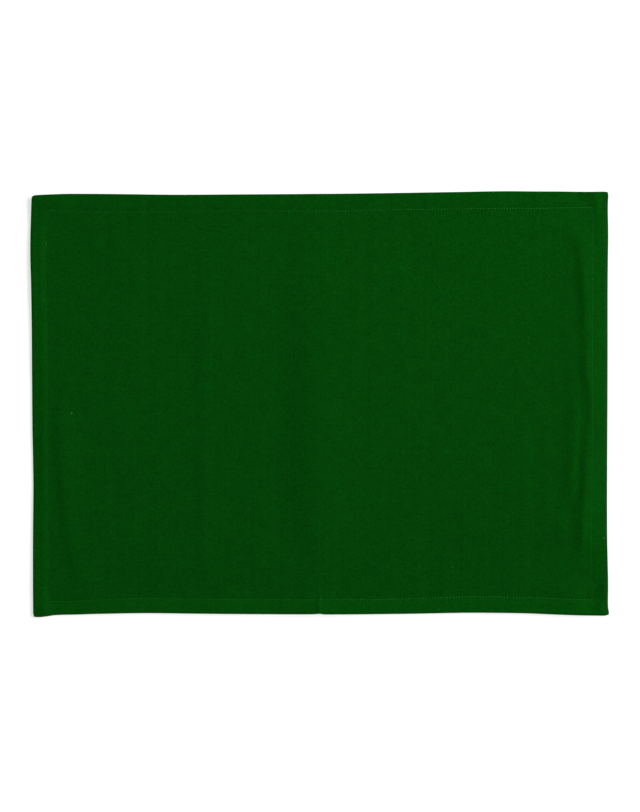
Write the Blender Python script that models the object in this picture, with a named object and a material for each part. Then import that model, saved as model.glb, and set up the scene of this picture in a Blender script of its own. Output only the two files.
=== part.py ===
"""A cotton placemat, hemmed all round and lying flat.

It is one cloth: a woven field inside a double-fold hem, whose corners are mitred. The outline strays a
little from a true rectangle, as sewn cloth does. A long buckle beside the right hem, low swells, the soft
creases of having been folded away and edges that curl up a little lift it here and there. Everywhere else
it lies on the table.

Frame: metres, +Z up, the origin on the table under the middle of the mat's box. +X runs along the long
side to the right, and +Y away from the person who sits at it.
"""

import math
from bisect import bisect_right
from typing import NamedTuple

import bmesh
import bpy

MM = 0.001

# Driving sizes.
MAT_LENGTH = 480 * MM
MAT_DEPTH = 351 * MM
HALF_LENGTH = MAT_LENGTH / 2
HALF_DEPTH = MAT_DEPTH / 2
HEM_WIDTH = 13 * MM
CLOTH_THICKNESS = 1.0 * MM
CORNER_RADIUS = 2.2 * MM
FIELD_CELL = 12 * MM
SEAM_REACH = 45 * MM  # how far inside the seam the cloth still follows its wandering
FALL_POWER = 1.5  # of a fold that falls at once: 1 would be an even slope

CLOTH_COLOUR = (0.003, 0.054, 0.005, 1.0)
CLOTH_ROUGHNESS = 0.92


class HemStep(NamedTuple):
    """The hem's cross-section at one distance in from the edge, in mm: its top, and its underside."""

    inset: float
    top: float
    under: float


# Folded edge, two layers, the turned-in third layer, the seam's groove, and the fall to the single cloth.
HEM_SECTION = (
    HemStep(0.0, 1.30, 0.50),
    HemStep(0.9, 1.75, 0.00),
    HemStep(2.2, 1.80, 0.00),
    HemStep(5.8, 1.70, 0.00),
    HemStep(7.2, 2.20, 0.00),
    HemStep(11.4, 2.30, 0.00),
    HemStep(13.0, 1.85, 0.00),
    HemStep(14.4, 1.85, 0.00),
    HemStep(17.0, 1.50, 0.00),
    HemStep(20.0, 1.20, 0.00),
    HemStep(23.0, 1.00, 0.00),
    HemStep(26.5, 1.00, 0.00),
    HemStep(31.0, 1.00, 0.00),
    HemStep(37.0, 1.00, 0.00),
)


class EdgeRow(NamedTuple):
    """How far a side's edge and its seam stray outwards from straight, at one place along it, in mm."""

    along: float
    edge: float
    seam: float


LEFT_SIDE = (
    EdgeRow(-175, -1.0, -1.9),
    EdgeRow(-150, -0.8, -1.5),
    EdgeRow(-110, -0.8, -0.7),
    EdgeRow(-72, -1.1, -0.1),
    EdgeRow(-47, -0.8, 0.0),
    EdgeRow(-20, -0.3, 0.0),
    EdgeRow(20, 0.0, -0.1),
    EdgeRow(60, 0.2, 0.1),
    EdgeRow(100, 0.7, 1.0),
    EdgeRow(120, 1.3, 1.2),
    EdgeRow(140, 1.3, 0.9),
    EdgeRow(160, 0.7, 0.0),
    EdgeRow(175, 0.1, 0.5),
)
RIGHT_SIDE = (
    EdgeRow(-175, 1.7, 0.4),
    EdgeRow(-168, 0.4, 0.2),
    EdgeRow(-145, 0.4, -0.2),
    EdgeRow(-111, -0.3, -0.7),
    EdgeRow(-80, -0.4, -0.7),
    EdgeRow(-50, -0.3, -0.5),
    EdgeRow(-14, -0.1, 0.1),
    EdgeRow(20, 0.0, 0.0),
    EdgeRow(60, 0.1, 0.0),
    EdgeRow(92, 0.1, 0.1),
    EdgeRow(120, 0.3, 0.2),
    EdgeRow(140, 0.6, 0.2),
    EdgeRow(164, 0.3, -0.1),
    EdgeRow(175, 0.9, 0.0),
)
NEAR_SIDE = (
    EdgeRow(-240, 2.8, 2.6),
    EdgeRow(-232, 2.3, 2.5),
    EdgeRow(-222, 0.9, 2.4),
    EdgeRow(-203, 0.4, 2.3),
    EdgeRow(-183, -0.2, 1.1),
    EdgeRow(-143, -0.8, -0.1),
    EdgeRow(-100, -0.3, 0.5),
    EdgeRow(-25, 0.2, 1.0),
    EdgeRow(-4, 0.1, 1.0),
    EdgeRow(0, -0.3, 0.8),
    EdgeRow(4, 0.3, 1.0),
    EdgeRow(65, -0.1, 0.4),
    EdgeRow(95, -0.6, -0.5),
    EdgeRow(124, -1.1, -1.6),
    EdgeRow(170, -0.7, -1.0),
    EdgeRow(205, 0.7, 0.5),
    EdgeRow(235, 1.4, 1.3),
    EdgeRow(240, 1.0, 1.3),
)
FAR_SIDE = (
    EdgeRow(-240, -2.0, -1.4),
    EdgeRow(-230, -1.4, -1.4),
    EdgeRow(-208, -0.5, -2.0),
    EdgeRow(-175, -0.6, -2.8),
    EdgeRow(-120, -1.2, -2.3),
    EdgeRow(-80, -1.0, -1.8),
    EdgeRow(0, -0.5, -2.0),
    EdgeRow(40, -0.1, -1.7),
    EdgeRow(65, 0.3, -0.8),
    EdgeRow(110, 1.0, -0.3),
    EdgeRow(155, 1.7, 0.2),
    EdgeRow(180, 1.5, 0.2),
    EdgeRow(215, 1.3, 0.9),
    EdgeRow(228, 1.1, 0.9),
    EdgeRow(240, 1.5, 0.9),
)


class Crest(NamedTuple):
    """One place on a fold's crest: where it is, how high, and how wide the slope on each side, in mm."""

    along: float
    across: float
    height: float
    low_width: float
    high_width: float


class Fold(NamedTuple):
    """A soft ridge in the cloth. Its low side is towards -X or -Y.

    Where falls_at_once is set, the high side runs down steeply straight from the crest and flattens out.
    """

    name: str
    runs_along: str
    crests: tuple
    falls_at_once: bool = False


FOLDS = (
    Fold(
        "right_buckle",
        "y",
        (
            Crest(-146, 217, 0.0, 9, 20),
            Crest(-132, 217.5, 0.3, 9, 20),
            Crest(-120, 219.2, 0.8, 11, 21),
            Crest(-108, 219.9, 1.0, 10, 21),
            Crest(-97, 220.3, 1.15, 11, 21),
            Crest(-85, 220.6, 1.15, 12, 20),
            Crest(-74, 222.2, 1.1, 8, 19),
            Crest(-50, 223, 0.75, 7, 18),
            Crest(-38, 223.2, 0.3, 6, 17),
            Crest(-16, 224.6, 0.35, 5, 16),
            Crest(4, 225.6, 1.0, 8, 15),
            Crest(19, 224.2, 1.55, 9, 17),
            Crest(31, 222.0, 1.3, 8, 19),
            Crest(55, 223, 0.95, 11, 19),
            Crest(78, 222.0, 1.25, 9, 20),
            Crest(101, 219.7, 1.35, 9, 21),
            Crest(113, 218.0, 1.1, 7, 21),
            Crest(124, 217.4, 0.8, 6, 21),
            Crest(136, 216.2, 0.7, 13, 20),
            Crest(150, 213.4, 0.0, 12, 20),
        ),
        True,
    ),
    Fold(
        "right_swell",
        "y",
        (
            Crest(-178, 218, 0.7, 120, 11),
            Crest(-168, 216, 0.8, 125, 13),
            Crest(-155, 213, 1.2, 140, 18),
            Crest(-143, 214, 0.6, 150, 19),
            Crest(-132, 214, 0.55, 160, 20),
            Crest(-120, 219.2, 1.3, 190, 20),
            Crest(-108, 220.1, 2.8, 190, 21),
            Crest(-90, 220.9, 3.1, 190, 21),
            Crest(-50, 223, 2.7, 190, 19),
            Crest(-30, 224, 2.2, 190, 18),
            Crest(4, 225.4, 1.7, 190, 16),
            Crest(30, 222.2, 2.35, 190, 19),
            Crest(60, 222.7, 2.0, 190, 19),
            Crest(90, 220.8, 1.4, 190, 20),
            Crest(124, 217.4, 1.5, 190, 20),
            Crest(136, 216.2, 1.2, 180, 19),
            Crest(148, 209, 1.2, 150, 17),
            Crest(160, 206, 0.9, 130, 16),
            Crest(170, 203, 0.7, 120, 14),
            Crest(178, 201, 0.6, 120, 13),
        ),
        True,
    ),
    Fold(
        "right_wrinkle",
        "y",
        (
            Crest(-84, 209.5, 0.0, 9, 5),
            Crest(-74, 210, 0.35, 9, 5),
            Crest(-50, 210.2, 0.75, 10, 6.5),
            Crest(-30, 211.3, 0.85, 12, 7),
            Crest(-14, 213.2, 0.85, 13, 6.5),
            Crest(0, 213, 0.6, 13, 8),
            Crest(31, 210.5, 0.5, 12, 16),
            Crest(60, 209, 0.0, 12, 16),
        ),
    ),
    Fold(
        "far_right_corner",
        "y",
        (
            Crest(148, 229, 0.0, 6, 5),
            Crest(158, 230, 0.3, 6, 5),
            Crest(165, 231, 0.7, 6, 5),
            Crest(169, 231, 1.3, 13, 5),
            Crest(178, 231.3, 1.9, 17, 5),
        ),
    ),
    Fold(
        "near_right_corner",
        "y",
        (
            Crest(-178, 238, 0.1, 9, 6),
            Crest(-165, 238, 0.5, 9, 6),
            Crest(-156, 237.5, 1.6, 8, 6),
            Crest(-147, 237.5, 0.9, 8, 6),
            Crest(-136, 237.5, 0.2, 8, 6),
        ),
    ),
    Fold(
        "near_left_crease",
        "y",
        (
            Crest(-160, -202, 0.0, 9, 17),
            Crest(-142, -203, 0.6, 9, 17),
            Crest(-118, -208, 0.8, 9, 17),
            Crest(-97, -211, 0.7, 8, 17),
            Crest(-72, -213, 0.9, 8, 18),
            Crest(-40, -215, 0.8, 10, 20),
            Crest(-12, -216, 0.5, 9, 14),
            Crest(12, -212, 0.4, 9, 10),
            Crest(30, -210, 0.0, 8, 10),
        ),
    ),
    Fold(
        "middle_crease",
        "y",
        (
            Crest(-178, 1, 0.5, 24, 16),
            Crest(-150, 1, 0.5, 26, 22),
            Crest(-120, 0, 0.5, 30, 26),
            Crest(-95, 0, 0.8, 34, 28),
            Crest(0, -2, 0.7, 34, 28),
            Crest(90, -3, 0.7, 34, 28),
            Crest(130, -3, 0.6, 30, 24),
            Crest(178, -4, 0.3, 20, 20),
        ),
    ),
    Fold(
        "middle_swell",
        "y",
        (
            Crest(-135, -2, 0.0, 34, 150),
            Crest(-95, -2, 1.2, 34, 150),
            Crest(0, -3, 1.4, 34, 150),
            Crest(90, -3, 1.4, 34, 150),
            Crest(145, -3, 0.0, 34, 150),
        ),
    ),
    Fold(
        "quarter_crease",
        "y",
        (
            Crest(-150, -98, 0.0, 8, 20),
            Crest(-110, -98, 0.3, 8, 20),
            Crest(110, -98, 0.4, 8, 20),
            Crest(150, -98, 0.0, 8, 20),
        ),
    ),
    Fold(
        "near_swell",
        "x",
        (
            Crest(-225, -130, 0.0, 26, 60),
            Crest(-170, -130, 0.9, 26, 60),
            Crest(-30, -130, 1.0, 26, 60),
            Crest(80, -132, 0.6, 24, 60),
            Crest(160, -130, 0.9, 26, 60),
            Crest(215, -130, 0.0, 26, 60),
        ),
    ),
    Fold(
        "near_curl",
        "x",
        (
            Crest(-236, -177, 0.2, 3, 12),
            Crest(-180, -177, 0.8, 3, 14),
            Crest(-20, -177, 1.0, 3, 15),
            Crest(60, -177, 0.6, 3, 14),
            Crest(180, -177, 0.7, 3, 14),
            Crest(236, -177, 0.6, 3, 16),
        ),
    ),
    Fold(
        "left_curl",
        "y",
        (
            Crest(-176, -241, 0.7, 3, 14),
            Crest(-140, -241, 0.5, 3, 14),
            Crest(-100, -240, 0.2, 3, 12),
            Crest(-20, -240, 0.1, 3, 12),
            Crest(30, -240, 0.3, 3, 14),
            Crest(70, -241, 0.6, 3, 15),
            Crest(90, -241, 1.1, 3, 15),
            Crest(118, -241, 1.1, 3, 15),
            Crest(150, -241, 0.7, 3, 20),
            Crest(164, -241, 1.4, 3, 40),
            Crest(178, -241, 1.8, 3, 42),
        ),
    ),
    Fold(
        "far_left_corner",
        "y",
        (
            Crest(148, -214, 0.0, 20, 12),
            Crest(158, -214, 0.65, 30, 12),
            Crest(168, -214, 0.75, 30, 12),
            Crest(178, -214, 0.2, 30, 12),
        ),
    ),
)


def through(points, place):
    """The value at one place on a smooth curve through (place, value) points in rising order."""
    places = [p for p, _ in points]
    values = [v for _, v in points]
    last = len(points) - 1
    k = min(max(bisect_right(places, place) - 1, 0), last - 1)

    def slope(i):
        before, after = max(i - 1, 0), min(i + 1, last)
        return (values[after] - values[before]) / (places[after] - places[before])

    span = places[k + 1] - places[k]
    t = min(max((place - places[k]) / span, 0.0), 1.0)
    start = values[k] * (1 + 2 * t) * (1 - t) ** 2 + slope(k) * span * t * (1 - t) ** 2
    end = values[k + 1] * t * t * (3 - 2 * t) + slope(k + 1) * span * t * t * (t - 1)
    return start + end


def eased(t):
    """0 up to t = 0, 1 from t = 1 on, and a smooth step between."""
    t = min(max(t, 0.0), 1.0)
    return t * t * (3 - 2 * t)


def stray(side, along, inset):
    """How far outwards a point strays that lies this far along a side and this far in from its edge."""
    edge = through([(row.along * MM, row.edge * MM) for row in side], along)
    seam = through([(row.along * MM, row.seam * MM) for row in side], along)
    if inset < HEM_WIDTH:
        return edge + (seam - edge) * inset / HEM_WIDTH
    return seam * (1 - eased((inset - HEM_WIDTH) / SEAM_REACH))


def rounded_corner(x, y):
    """The point moved so that the square corners of the plain rectangle become arcs."""
    past_x = (abs(x) - (HALF_LENGTH - CORNER_RADIUS)) / CORNER_RADIUS
    past_y = (abs(y) - (HALF_DEPTH - CORNER_RADIUS)) / CORNER_RADIUS
    if past_x <= 0 or past_y <= 0:
        return x, y
    arc_x = past_x * math.sqrt(1 - past_y**2 / 2)
    arc_y = past_y * math.sqrt(1 - past_x**2 / 2)
    return (
        math.copysign(HALF_LENGTH - CORNER_RADIUS + arc_x * CORNER_RADIUS, x),
        math.copysign(HALF_DEPTH - CORNER_RADIUS + arc_y * CORNER_RADIUS, y),
    )


def sewn_place(x, y):
    """Where a point of the plain rectangle lies on the sewn mat, whose sides wander."""
    right = stray(RIGHT_SIDE, y, HALF_LENGTH - x)
    left = stray(LEFT_SIDE, y, HALF_LENGTH + x)
    far = stray(FAR_SIDE, x, HALF_DEPTH - y)
    near = stray(NEAR_SIDE, x, HALF_DEPTH + y)
    x, y = rounded_corner(x, y)
    return x + right - left, y + far - near


def fold_height(fold, x, y):
    """How high, in mm, one fold holds the cloth at a point of the plain rectangle, also in mm."""
    along, across = (y, x) if fold.runs_along == "y" else (x, y)
    if not fold.crests[0].along <= along <= fold.crests[-1].along:
        return 0.0
    middle, height, low_width, high_width = (
        through([(crest.along, crest[column]) for crest in fold.crests], along) for column in range(1, 5)
    )
    away = across - middle
    share = abs(away) / (high_width if away > 0 else low_width)
    if away > 0 and fold.falls_at_once:
        return height * max(0.0, 1 - share) ** FALL_POWER
    return height * (1 - eased(share))


def lift(x, y):
    """How high the folds hold the cloth above the table at a point of the plain rectangle."""
    return MM * sum(fold_height(fold, x / MM, y / MM) for fold in FOLDS)


def hem_section(inset):
    """The (underside, top) of the sewn layers this far in from the edge, before any fold lifts them."""
    insets = [step.inset * MM for step in HEM_SECTION]
    k = bisect_right(insets, inset) - 1
    if k >= len(HEM_SECTION) - 1:
        return 0.0, CLOTH_THICKNESS
    t = (inset - insets[k]) / (insets[k + 1] - insets[k])
    here, after = HEM_SECTION[k], HEM_SECTION[k + 1]
    under = here.under + (after.under - here.under) * t
    top = here.top + (after.top - here.top) * t
    return under * MM, top * MM


def grid_lines(half_size):
    """The plain rectangle's grid lines across one direction: those of the hem, then even field cells."""
    hem = [half_size - step.inset * MM for step in HEM_SECTION]
    inner = hem[-1]
    cells = round(2 * inner / FIELD_CELL)
    field = [-inner + 2 * inner * i / cells for i in range(1, cells)]
    return [-place for place in hem] + field + hem[::-1]


def cloth_cells(columns, rows):
    """The grid's triangles as corner indices. They split along each corner's mitre."""
    for i in range(len(columns) - 1):
        for j in range(len(rows) - 1):
            corners = [(i, j), (i + 1, j), (i + 1, j + 1), (i, j + 1)]
            middle_x = columns[i] + columns[i + 1]
            middle_y = rows[j] + rows[j + 1]
            if middle_x * middle_y < 0:
                corners = corners[1:] + corners[:1]
            a, b, c, d = corners
            yield a, b, c
            yield a, c, d


def box_middle(columns, rows):
    """The middle of the sewn outline's box, which becomes the origin."""
    sides = [sewn_place(x, y) for x in columns for y in (rows[0], rows[-1])]
    sides += [sewn_place(x, y) for y in rows for x in (columns[0], columns[-1])]
    middle_x = (min(x for x, _ in sides) + max(x for x, _ in sides)) / 2
    middle_y = (min(y for _, y in sides) + max(y for _, y in sides)) / 2
    return middle_x, middle_y


def placemat_mesh():
    """The whole cloth as one closed mesh: a sheet of triangles, pulled up into its layers."""
    columns, rows = grid_lines(HALF_LENGTH), grid_lines(HALF_DEPTH)
    middle_x, middle_y = box_middle(columns, rows)
    shape = bmesh.new()
    plain = {(i, j): shape.verts.new((x, y, 0)) for i, x in enumerate(columns) for j, y in enumerate(rows)}
    for corners in cloth_cells(columns, rows):
        shape.faces.new([plain[corner] for corner in corners])
    pulled = bmesh.ops.extrude_face_region(shape, geom=shape.faces[:])
    top_verts = {part for part in pulled["geom"] if isinstance(part, bmesh.types.BMVert)}
    for vert in shape.verts:
        x, y, _ = vert.co
        under, top = hem_section(min(HALF_LENGTH - abs(x), HALF_DEPTH - abs(y)))
        height = lift(x, y) + (top if vert in top_verts else under)
        sewn_x, sewn_y = sewn_place(x, y)
        vert.co = (sewn_x - middle_x, sewn_y - middle_y, height)
    bmesh.ops.recalc_face_normals(shape, faces=shape.faces[:])
    mesh = bpy.data.meshes.new("placemat_cloth")
    shape.to_mesh(mesh)
    shape.free()
    mesh.shade_smooth()
    mesh.set_sharp_from_angle(angle=math.radians(40))
    return mesh


def cotton():
    """Plain dyed cotton, matt all over."""
    material = bpy.data.materials.new("green_cotton")
    material.use_nodes = True
    shader = material.node_tree.nodes["Principled BSDF"]
    shader.inputs["Base Color"].default_value = CLOTH_COLOUR
    shader.inputs["Roughness"].default_value = CLOTH_ROUGHNESS
    shader.inputs["Metallic"].default_value = 0.0
    return material


def clear_scene():
    for thing in list(bpy.data.objects):
        bpy.data.objects.remove(thing, do_unlink=True)


def main():
    clear_scene()
    placemat = bpy.data.objects.new("placemat_cloth", placemat_mesh())
    placemat.data.materials.append(cotton())
    bpy.context.scene.collection.objects.link(placemat)


main()
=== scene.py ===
"""The looks of a green cotton placemat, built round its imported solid.

The mat is one sheet of plain-woven canvas. Its hem is folded here as the real one is: out to the edge, back
underneath and turned in, with mitred corners. A row of lockstitches holds it, and a few pale neps and one
long stitch, where the machine skipped, show that it is real cloth. Lengths in the tables are in millimetres,
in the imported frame: +X to the right of the person who sits at the mat, +Y away from that person, +Z up from
the table.
"""

import math
from typing import NamedTuple

import bpy
import numpy as np
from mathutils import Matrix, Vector

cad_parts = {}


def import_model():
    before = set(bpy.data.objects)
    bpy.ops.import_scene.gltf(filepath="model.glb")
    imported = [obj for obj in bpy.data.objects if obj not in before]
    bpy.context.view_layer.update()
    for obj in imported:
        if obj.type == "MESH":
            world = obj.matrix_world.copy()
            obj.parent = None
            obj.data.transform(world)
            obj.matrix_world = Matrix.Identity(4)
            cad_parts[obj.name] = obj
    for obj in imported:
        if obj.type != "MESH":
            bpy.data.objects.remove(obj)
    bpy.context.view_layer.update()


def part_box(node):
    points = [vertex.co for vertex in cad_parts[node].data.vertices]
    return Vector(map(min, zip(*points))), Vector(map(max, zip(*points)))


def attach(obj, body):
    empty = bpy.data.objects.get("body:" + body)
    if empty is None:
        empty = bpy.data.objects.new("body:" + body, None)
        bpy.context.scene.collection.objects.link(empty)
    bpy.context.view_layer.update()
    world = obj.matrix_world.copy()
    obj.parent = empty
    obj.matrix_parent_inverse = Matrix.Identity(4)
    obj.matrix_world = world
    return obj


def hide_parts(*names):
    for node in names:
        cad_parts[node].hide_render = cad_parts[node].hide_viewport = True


MM = 0.001

# The mat, as in its solid.
HALF_LENGTH = 240.0
HALF_DEPTH = 175.5
HEM_WIDTH = 13.0
CORNER_RADIUS = 2.2
SEAM_REACH = 45.0  # how far inside the seam the cloth still follows its wandering
RIM_WIDTH = 45.0  # the rim is meshed in rings, and the field inside it in a grid

# The sewing and the weave.
STITCH_PITCH = 2.5
STITCH_LENGTH = 1.5
FLAT_STITCH = 2.4  # where the thread is pulled flat, it shows along nearly all of its pitch
SKIPPED_STITCHES = 3
SKIP_MIDDLE = 134.7  # the left row misses its stitches about this place along it, and leaves one long one
LEFT_ROW_DROP = 0.2  # the thread of the short sides was pulled deeper into the cloth
RIGHT_ROW_DROP = 0.08
LEFT_ROW_SHOWING = 0.2  # how much of the thread the nap lets show there
RIGHT_ROW_SHOWING = 0.42
LEFT_END_DROP = 0.1  # the same at the left end of the long sides, from where the thread comes clear
LEFT_END_SHOWING = 0.35
CLEAR_FROM, CLEAR_TO = -110.0, 150.0
YARN_PITCH = 0.48

# The photograph's frame.
PHOTO_WIDTH_PX = 640
PHOTO_HEIGHT_PX = 812
MM_PER_PX = 0.8338
MAT_MIDDLE_PX = (319.64, 404.19)
SENSOR_MM = 36.0
LENS_MM = 79.8


class HemPoint(NamedTuple):
    """A point of the cloth's middle line across the hem: its place in from the edge, height and thickness."""

    inset: float
    height: float
    thickness: float = 0.55


HEM_TOP = (
    HemPoint(RIM_WIDTH, 0.30),
    HemPoint(36.0, 0.42),
    HemPoint(30.0, 0.54),
    HemPoint(24.0, 0.67),
    HemPoint(19.0, 0.79),
    HemPoint(16.0, 0.88),
    HemPoint(14.3, 0.94, 0.50),
    HemPoint(13.5, 0.97, 0.42),
    HemPoint(13.0, 0.98, 0.36),
    HemPoint(12.5, 1.01, 0.42),
    HemPoint(11.7, 1.09, 0.50),
    HemPoint(10.5, 1.21),
    HemPoint(9.2, 1.31),
    HemPoint(8.2, 1.34),
    HemPoint(7.3, 1.31),
    HemPoint(6.4, 1.24),
    HemPoint(5.2, 1.17),
    HemPoint(3.8, 1.13),
    HemPoint(2.5, 1.12),
)
OUTER_FOLD = (
    HemPoint(1.4, 1.08),
    HemPoint(0.75, 0.98, 0.54),
    HemPoint(0.38, 0.83, 0.53),
    HemPoint(0.27, 0.65, 0.52),
    HemPoint(0.38, 0.47, 0.53),
    HemPoint(0.75, 0.33, 0.54),
    HemPoint(1.4, 0.28),
)
HEM_UNDERSIDE = (
    HemPoint(5.0, 0.28),
    HemPoint(10.0, 0.28),
    HemPoint(12.2, 0.29, 0.45),
    HemPoint(13.0, 0.34, 0.34),
)
INNER_FOLD = (
    HemPoint(13.5, 0.35, 0.34),
    HemPoint(13.85, 0.42, 0.34),
    HemPoint(13.95, 0.51, 0.34),
    HemPoint(13.85, 0.60, 0.34),
    HemPoint(13.5, 0.67, 0.34),
)
TURNED_IN = (
    HemPoint(13.0, 0.68, 0.34),
    HemPoint(12.0, 0.71, 0.42),
    HemPoint(10.5, 0.80, 0.52),
    HemPoint(9.2, 0.85),
    HemPoint(7.9, 0.85),
)


class EdgeRow(NamedTuple):
    """How far a side's edge and its seam stray outwards from straight, at one place along it."""

    along: float
    edge: float
    seam: float


LEFT_SIDE = (
    EdgeRow(-175, -1.0, -1.9),
    EdgeRow(-150, -0.8, -1.5),
    EdgeRow(-110, -0.8, -0.7),
    EdgeRow(-72, -1.1, -0.1),
    EdgeRow(-47, -0.8, 0.0),
    EdgeRow(-20, -0.3, 0.0),
    EdgeRow(20, 0.0, -0.1),
    EdgeRow(60, 0.2, 0.1),
    EdgeRow(100, 0.7, 1.0),
    EdgeRow(120, 1.3, 1.2),
    EdgeRow(140, 1.3, 0.9),
    EdgeRow(160, 0.7, 0.0),
    EdgeRow(175, 0.1, 0.5),
)
RIGHT_SIDE = (
    EdgeRow(-175, 1.7, 0.4),
    EdgeRow(-168, 0.4, 0.2),
    EdgeRow(-145, 0.4, -0.2),
    EdgeRow(-111, -0.3, -0.7),
    EdgeRow(-80, -0.4, -0.7),
    EdgeRow(-50, -0.3, -0.5),
    EdgeRow(-14, -0.1, 0.1),
    EdgeRow(20, 0.0, 0.0),
    EdgeRow(60, 0.1, 0.0),
    EdgeRow(92, 0.1, 0.1),
    EdgeRow(120, 0.3, 0.2),
    EdgeRow(140, 0.6, 0.2),
    EdgeRow(164, 0.3, -0.1),
    EdgeRow(175, 0.9, 0.0),
)
NEAR_SIDE = (
    EdgeRow(-240, 2.8, 2.6),
    EdgeRow(-232, 2.3, 2.5),
    EdgeRow(-222, 0.9, 2.4),
    EdgeRow(-203, 0.4, 2.3),
    EdgeRow(-183, -0.2, 1.1),
    EdgeRow(-143, -0.8, -0.1),
    EdgeRow(-100, -0.3, 0.5),
    EdgeRow(-25, 0.2, 1.0),
    EdgeRow(-4, 0.1, 1.0),
    EdgeRow(0, -0.3, 0.8),
    EdgeRow(4, 0.3, 1.0),
    EdgeRow(65, -0.1, 0.4),
    EdgeRow(95, -0.6, -0.5),
    EdgeRow(124, -1.1, -1.6),
    EdgeRow(170, -0.7, -1.0),
    EdgeRow(205, 0.7, 0.5),
    EdgeRow(235, 1.4, 1.3),
    EdgeRow(240, 1.0, 1.3),
)
FAR_SIDE = (
    EdgeRow(-240, -2.0, -1.4),
    EdgeRow(-230, -1.4, -1.4),
    EdgeRow(-208, -0.5, -2.0),
    EdgeRow(-175, -0.6, -2.8),
    EdgeRow(-120, -1.2, -2.3),
    EdgeRow(-80, -1.0, -1.8),
    EdgeRow(0, -0.5, -2.0),
    EdgeRow(40, -0.1, -1.7),
    EdgeRow(65, 0.3, -0.8),
    EdgeRow(110, 1.0, -0.3),
    EdgeRow(155, 1.7, 0.2),
    EdgeRow(180, 1.5, 0.2),
    EdgeRow(215, 1.3, 0.9),
    EdgeRow(228, 1.1, 0.9),
    EdgeRow(240, 1.5, 0.9),
)


class Crest(NamedTuple):
    """One place on a fold's crest: where it is, how high, and how wide the slope on each side."""

    along: float
    across: float
    height: float
    low_width: float
    high_width: float


class Fold(NamedTuple):
    """A soft ridge, or a trough where its heights are below zero.

    Its low side is towards -X or -Y. Where falls_at_once is set, the high side runs down steeply straight
    from the crest and flattens out.
    """

    name: str
    runs_along: str
    crests: tuple
    falls_at_once: bool = False


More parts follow.
